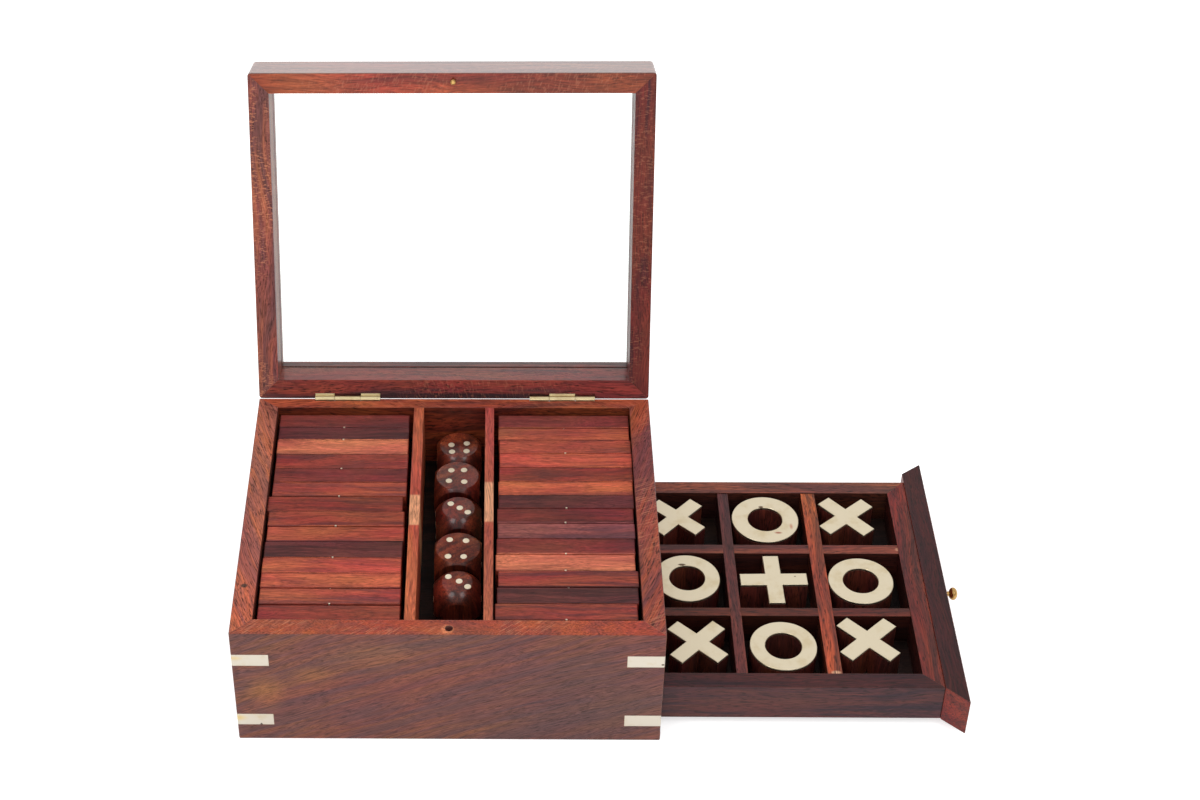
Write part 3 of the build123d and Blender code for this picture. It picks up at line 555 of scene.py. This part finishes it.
# The noughts and crosses' face plates are nearly white where they mirror the room, with a few small
# stains of glue and of red wood dust.
PLATE_BRASS = brass(
    "pale sheet brass", "#DED1B6", "#C8B388",
    marks=[
        (spot("ring_2_plate", 4.4, -7.6), (2.0, 0.8, 9), 0.8, 0.8, "#9C3F28"),
        (spot("ring_2_plate", 9.6, -4.0), (0.9, 2.2, 9), 0.9, 0.6, "#B45A3C"),
        (spot("cross_5_plate", 8.0, 1.4), (0.5, 0.35, 9), 0.5, 0.8, "#5C4630"),
        (spot("ring_2_plate", -1.0, 6.9), (1.2, 0.7, 9), 0.5, 0.9, "#4A3020"),
        (spot("ring_4_plate", -1.5, 7.0), (1.8, 0.7, 9), 0.5, 0.9, "#4A3020"),
    ],
)
# The corner straps are duller and brushed along, with yellow tarnish and small dark gaps at the wood.
STRAP_BRASS = brass(
    "pale brass strap", "#CBC3B4", "#BBA576", brushed=(5.0, 0.3, 0.3), roughness=0.34,
    marks=[
        ((-66.5, -63.5, 7.2), (0.6, 3, 1.3), 0.4, 0.9, "#2A1A14"),
        ((74.3, -63.5, 38.6), (0.7, 3, 0.5), 0.5, 0.9, "#3A2418"),
        ((-75, -63.5, 11), (5, 3, 2.2), 0.9, 0.7, "#D2B56A"),
        ((-74, -63.5, 41), (4, 3, 1.5), 0.9, 0.5, "#D2B56A"),
    ],
)
# The knob and the catch's pin are turned and polished, so they mirror more and look a deeper yellow.
FITTING_BRASS = brass("polished brass fittings", "#B9935A", "#7E5C34", roughness=0.22)
# The hinge is rolled sheet, brushed along its leaves.
HINGE_BRASS = brass("rolled brass hinge", "#DECDA0", "#A0804C", roughness=0.24, brushed=(4.0, 0.4, 0.4))
GLASS = window_glass()

finishes = dict(boards)
for name in nodes:
    if name.endswith("_plate"):
        finishes[name] = PLATE_BRASS
    elif name.endswith("_block"):
        finishes[name] = MARK_SIDES
    elif name.startswith("die_"):
        finishes[name] = DICE_WOOD
    elif name.startswith("hinge"):
        finishes[name] = HINGE_BRASS
finishes["corner_straps"] = STRAP_BRASS
finishes["drawer_knob"] = FITTING_BRASS
finishes["catch_pin"] = FITTING_BRASS
finishes["lid_glass"] = GLASS

for name, made in nodes.items():
    made.data.materials.clear()
    made.data.materials.append(finishes[name])


# ---- inlays: pips and lines, one tree that sets a small stud at each point
PIP_SIDES = 20
PIP_CROWN = 0.86  # a pip's crown to its width
INLAY_INPUTS = {
    "Points": "NodeSocketGeometry",
    "Width": "NodeSocketFloat",
    "Length": "NodeSocketFloat",
    "Depth": "NodeSocketFloat",
    "Finish": "NodeSocketMaterial",
}


def inlay_tree(shape):
    """Sets a stud of inlay at each point, facing the way that the point's own vector says. shape is
    "pip" for a round stud with a broken edge or "line" for a bar that runs up its face."""
    tree = bpy.data.node_groups.new(f"{shape} inlay", "GeometryNodeTree")
    sockets = {}
    for label, kind in INLAY_INPUTS.items():
        sockets[label] = tree.interface.new_socket(label, in_out="INPUT", socket_type=kind).identifier
    tree.interface.new_socket("Inlay", in_out="OUTPUT", socket_type="NodeSocketGeometry")
    given = add(tree, "NodeGroupInput").outputs
    if shape == "pip":
        foot = add(tree, "ShaderNodeMath", {0: given["Width"], 1: 0.5}, operation="MULTIPLY")
        crown = add(tree, "ShaderNodeMath", {0: foot, 1: PIP_CROWN}, operation="MULTIPLY")
        inputs = {"Vertices": PIP_SIDES, "Radius Bottom": foot, "Radius Top": crown}
        stud = add(tree, "GeometryNodeMeshCone", {**inputs, "Depth": given["Depth"]})
    else:
        inputs = {0: given["Width"], 1: given["Length"], 2: given["Depth"]}
        size = add(tree, "ShaderNodeCombineXYZ", inputs)
        stud = add(tree, "GeometryNodeMeshCube", {"Size": size})
    facing = add(tree, "GeometryNodeInputNamedAttribute", {"Name": "facing"}, data_type="FLOAT_VECTOR")
    turned = add(tree, "FunctionNodeAlignRotationToVector", {"Vector": facing}, axis="Z")
    inputs = {"Points": given["Points"], "Instance": stud, "Rotation": turned}
    set_in = add(tree, "GeometryNodeInstanceOnPoints", inputs)
    real = add(tree, "GeometryNodeRealizeInstances", {0: set_in})
    finished = add(tree, "GeometryNodeSetMaterial", {"Geometry": real, "Material": given["Finish"]})
    add(tree, "NodeGroupOutput", {0: finished})
    return tree, sockets


trees = {shape: inlay_tree(shape) for shape in ("pip", "line")}


def inlay(name, body, shape, studs, width, length, depth, finish):
    """One piece of inlay on a body: studs are (place, way it faces), in metres."""
    mesh = bpy.data.meshes.new(name)
    mesh.from_pydata([place for place, _ in studs], [], [])
    facing = mesh.attributes.new("facing", "FLOAT_VECTOR", "POINT")
    for item, (_, way) in zip(facing.data, studs):
        item.vector = way
    piece = bpy.data.objects.new(name, mesh)
    bpy.context.scene.collection.objects.link(piece)
    tree, sockets = trees[shape]
    modifier = piece.modifiers.new("inlay", "NODES")
    modifier.node_group = tree
    for label, value in (("Width", width), ("Length", length), ("Depth", depth), ("Finish", finish)):
        modifier[sockets[label]] = value
    seen = piece.evaluated_get(bpy.context.evaluated_depsgraph_get())
    made = bpy.data.meshes.new_from_object(seen)
    piece.modifiers.clear()
    piece.data = made
    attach(piece, body)


# ---- the dice's pips, of brass too small and too rubbed to mirror anything clearly
PIP_BRASS = brass("pale brass pips", "#FFF6DF", "#E9D3A0", roughness=0.5, tarnished=0.35, edge=0.1)
DIE_PIP_WIDTH = 2.8 * MM
DIE_PIP_DEPTH = 0.5 * MM
PIP_PROUD = 0.06 * MM  # how far a die's pip stands out of its face
DIE_TURNS = (1.5, -2.0, 2.0, -1.0, 1.0)  # as the dice lie in the channel, degrees
# Where the pips of the top face were drilled on each die, by hand: right and back of its middle, mm.
TOP_PIPS = (
    ((-2.9, 0.2), (3.0, 0.9), (-2.7, -3.8), (2.8, -3.6)),
    ((-2.5, 3.1), (2.3, 3.4), (-3.1, -2.9), (2.7, -3.2)),
    ((-2.8, 2.5), (0.5, 0.1), (3.4, -2.4)),
    ((-3.2, 4.3), (2.8, 3.9), (-3.5, -4.5), (2.2, -4.5)),
    ((-3.2, 2.8), (0.7, 0.4), (3.7, -2.4)),
)
FRONT_PIP = ((0.4, -3.9),)  # the single pip in front, drilled low
PIP_STEP = 3.0  # between the pips of the other faces, mm
PATTERNS = {
    1: ((0, 0),),
    2: ((-1, 1), (1, -1)),
    3: ((-1, 1), (0, 0), (1, -1)),
    4: ((-1, 1), (1, 1), (-1, -1), (1, -1)),
    5: ((-1, 1), (1, 1), (0, 0), (-1, -1), (1, -1)),
    6: ((-1, 1), (1, 1), (-1, 0), (1, 0), (-1, -1), (1, -1)),
}


def spots(count, step):
    """The places of a number's pips about the middle of its face, in millimetres."""
    return [(x * step, y * step) for x, y in PATTERNS[count]]


def die_faces(top):
    """What each side of a die shows but the top one, by the way it faces, with opposite sides adding
    up to seven."""
    front, right = next(
        (a, b) for a in range(1, 7) for b in range(1, 7) if len({a, b, top, 7 - a, 7 - b, 7 - top}) == 6
    )
    return {
        (0, -1, 0): front, (0, 1, 0): 7 - front,
        (1, 0, 0): right, (-1, 0, 0): 7 - right,
        (0, 0, -1): 7 - top,
    }


def die_studs(number):
    """Every pip of one die, as (place, way it faces)."""
    low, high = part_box(f"die_{number}")
    middle = (low + high) / 2
    half = (high.z - low.z) / 2
    turn = Matrix.Rotation(math.radians(DIE_TURNS[number - 1]), 3, "Z")
    drilled = {(0, 0, 1): TOP_PIPS[number - 1]}
    for way, count in die_faces(len(TOP_PIPS[number - 1])).items():
        drilled[way] = spots(count, PIP_STEP)
    drilled[(0, -1, 0)] = FRONT_PIP
    studs = []
    for way, marks in drilled.items():
        way = Vector(way)
        up = Vector((0, 1, 0)) if way.z else Vector((0, 0, 1))
        right = up.cross(way)
        for x, y in marks:
            place = way * (half + PIP_PROUD - DIE_PIP_DEPTH) + right * x * MM + up * y * MM
            studs.append((middle + turn @ place, turn @ way))
    return studs


for number in range(1, len(TOP_PIPS) + 1):
    die, studs = f"die_{number}", die_studs(number)
    inlay(f"{die}_pips", die, "pip", studs, DIE_PIP_WIDTH, 0, DIE_PIP_DEPTH, PIP_BRASS)


# ---- the dominoes' faces, which look forward in their rows: a double-six set in two halves
TILE_PIP_WIDTH = 2.4 * MM
TILE_PIP_STEP = 5.6  # mm
LINE_WIDTH = 0.6 * MM
LINE_DEPTH = 0.35 * MM
LINE_SHORT = 1.0 * MM  # than its tile, which leaves it short of the top on the tiles named below
FACE_PROUD = 0.03 * MM  # how far a tile's pips and line stand out of its face
ALIKE = 1e-6  # two places nearer than this are one


def domino_inlay(node, pairs, short):
    """The pips and the middle line of each tile in a row, with the lines of the short ones lower."""
    low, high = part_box(node)
    middle_z = (low.z + high.z) / 2
    pips, lines = [], []
    forward = Vector((0, -1, 0))
    places = [vertex.co for vertex in nodes[node].data.vertices]
    for number, ((front, back), pair) in enumerate(zip(tile_spans(node), pairs), 1):
        xs = [place.x for place in places if front - ALIKE <= place.y <= back + ALIKE]
        left, right = min(xs), max(xs)
        middle = Vector(((left + right) / 2, front - FACE_PROUD, middle_z))
        raised = 0 if number in short else LINE_SHORT / 2 + FACE_PROUD
        lines.append((middle + Vector((0, LINE_DEPTH / 2, raised)), forward))
        for side, count in zip((-1, 1), pair):
            for x, z in spots(count, TILE_PIP_STEP) if count else ():
                at = Vector((side * (right - left) / 4 + x * MM, 2 * FACE_PROUD, z * MM))
                pips.append((middle + at, forward))
    height = high.z - low.z - LINE_SHORT
    inlay(f"{node}_pips", node, "pip", pips, TILE_PIP_WIDTH, 0, 2 * FACE_PROUD, PIP_BRASS)
    inlay(f"{node}_lines", node, "line", lines, LINE_WIDTH, height, LINE_DEPTH, PIP_BRASS)


double_six = [(a, b) for a in range(7) for b in range(a, 7)]
domino_inlay("left_dominoes", double_six[0::2], short=(3, 5, 7, 9, 11, 12, 14))
domino_inlay("right_dominoes", double_six[1::2], short=(1, 2, 4, 5, 6, 9, 12, 13))


# ---- floor, light and camera
FLOOR_HALF = 6.0  # from its middle to its edge, in metres
FLOOR_GLOW = 0.62  # what it adds to the light that falls on it, to show white
ROOM_LOW, ROOM_HIGH = 0.15, 1.22  # light on the object, from the skyline and from overhead
ROOM_BEFORE = 0.55  # what gloss mirrors of the room in front
BEFORE, BEHIND = -0.5, 0.2  # how far back a mirrored ray goes, where it sees that room, and the white
# Each softbox's place, side and power, in metres and watts, and the spot that they all look at.
SOFTBOXES = {
    "left softbox": ((-0.60, -0.70, 1.30), 0.50, 3.4),
    "right softbox": ((0.55, -0.70, 1.30), 0.45, 2.6),
    "front softbox": ((0.0, -1.20, 0.42), 0.40, 1.2),
}
LIT_SPOT = Vector((0, 0, 0.03))
CAMERA_PLACE = Vector((18.3, -603.9, 601.7)) * MM
CAMERA_DOWN, CAMERA_TURN, CAMERA_ROLL = 39.38, -1.57, -0.90  # degrees
SENSOR, LENS = 36.0, 67.29  # mm
CAMERA_SHIFT = (0.1220, -0.0024)
NEAREST, FURTHEST = 0.01, 50  # that the camera sees, in metres


def place_floor():
    """A plain white floor that stays white to the camera, and in brass and glass, but for the shadow."""
    half = FLOOR_HALF
    corners = [(-half, -half, 0), (half, -half, 0), (half, half, 0), (-half, half, 0)]
    mesh = bpy.data.meshes.new("floor")
    mesh.from_pydata(corners, [], [(0, 1, 2, 3)])
    floor = bpy.data.objects.new("floor", mesh)
    bpy.context.scene.collection.objects.link(floor)
    material, tree = new_material("white studio floor")
    rays = add(tree, "ShaderNodeLightPath").outputs
    inputs = {0: rays["Is Camera Ray"], 1: rays["Is Glossy Ray"]}
    seen = add(tree, "ShaderNodeMath", inputs, operation="MAXIMUM")
    seen = add(tree, "ShaderNodeMath", {0: seen, 1: rays["Is Transmission Ray"]}, operation="MAXIMUM")
    glow = add(tree, "ShaderNodeMath", {0: seen, 1: FLOOR_GLOW}, operation="MULTIPLY")
    matt = add(tree, "ShaderNodeBsdfDiffuse", {0: "#E8E8E8"})
    glow = add(tree, "ShaderNodeEmission", {0: "#FFFFFF", 1: glow})
    both = add(tree, "ShaderNodeAddShader", {0: matt, 1: glow})
    add(tree, "ShaderNodeOutputMaterial", {0: both})
    floor.data.materials.append(material)


def light_room():
    """White all round for the camera and glass. Gloss mirrors the white behind the object, and a
    dimmer room before it, and a wide soft ceiling lights the object, brightest overhead."""
    world = bpy.data.worlds.new("studio")
    bpy.context.scene.world = world
    world.use_nodes = True
    tree = world.node_tree
    tree.nodes.clear()
    rays = add(tree, "ShaderNodeLightPath").outputs
    way = add(tree, "ShaderNodeTexCoord").outputs["Generated"]
    _, ahead, above = add(tree, "ShaderNodeSeparateXYZ", {0: way}).outputs
    mirrored = add(tree, "ShaderNodeMapRange", {0: ahead, 1: BEFORE, 2: BEHIND, 3: ROOM_BEFORE, 4: 1.0})
    lit = add(tree, "ShaderNodeMapRange", {0: above, 1: 0.0, 2: 1.0, 3: ROOM_LOW, 4: ROOM_HIGH})
    inputs = {0: rays["Is Camera Ray"], 1: rays["Is Transmission Ray"]}
    seen = add(tree, "ShaderNodeMath", inputs, operation="MAXIMUM")
    gloss = add(tree, "ShaderNodeMath", {0: rays["Is Glossy Ray"], 1: mirrored}, operation="MULTIPLY")
    inputs = {0: rays["Is Diffuse Ray"], 1: lit, 2: gloss}
    strength = add(tree, "ShaderNodeMath", inputs, operation="MULTIPLY_ADD")
    strength = add(tree, "ShaderNodeMath", {0: strength, 1: seen}, operation="MAXIMUM")
    sky = add(tree, "ShaderNodeBackground", {0: "#FFFFFF", 1: strength})
    add(tree, "ShaderNodeOutputWorld", {0: sky})


def hang_lamp(name, place, size, power):
    """A square softbox that looks at the object."""
    lamp = bpy.data.lights.new(name, "AREA")
    lamp.shape = "SQUARE"
    lamp.size = size
    lamp.energy = power
    made = bpy.data.objects.new(name, lamp)
    made.location = place
    made.rotation_euler = (LIT_SPOT - Vector(place)).to_track_quat("-Z", "Y").to_euler()
    bpy.context.scene.collection.objects.link(made)


def set_camera():
    """A camera above the front, looking down and almost straight on, with the object left of its axis."""
    pitch, yaw, roll = (math.radians(a) for a in (CAMERA_DOWN, CAMERA_TURN, CAMERA_ROLL))
    forward = Vector((math.sin(yaw) * math.cos(pitch), math.cos(yaw) * math.cos(pitch), -math.sin(pitch)))
    right = Vector((math.cos(yaw), -math.sin(yaw), 0))
    up = right.cross(forward)
    turned = Matrix((right, up, -forward)).transposed() @ Matrix.Rotation(roll, 3, "Z")
    data = bpy.data.cameras.new("camera")
    data.sensor_width = SENSOR
    data.lens = LENS
    data.shift_x, data.shift_y = CAMERA_SHIFT
    data.clip_start, data.clip_end = NEAREST, FURTHEST
    camera = bpy.data.objects.new("camera", data)
    camera.matrix_world = Matrix.Translation(CAMERA_PLACE) @ turned.to_4x4()
    bpy.context.scene.collection.objects.link(camera)
    bpy.context.scene.camera = camera


place_floor()
light_room()
for name, (place, size, power) in SOFTBOXES.items():
    hang_lamp(name, place, size, power)
set_camera()
bpy.context.scene.view_settings.view_transform = "Standard"
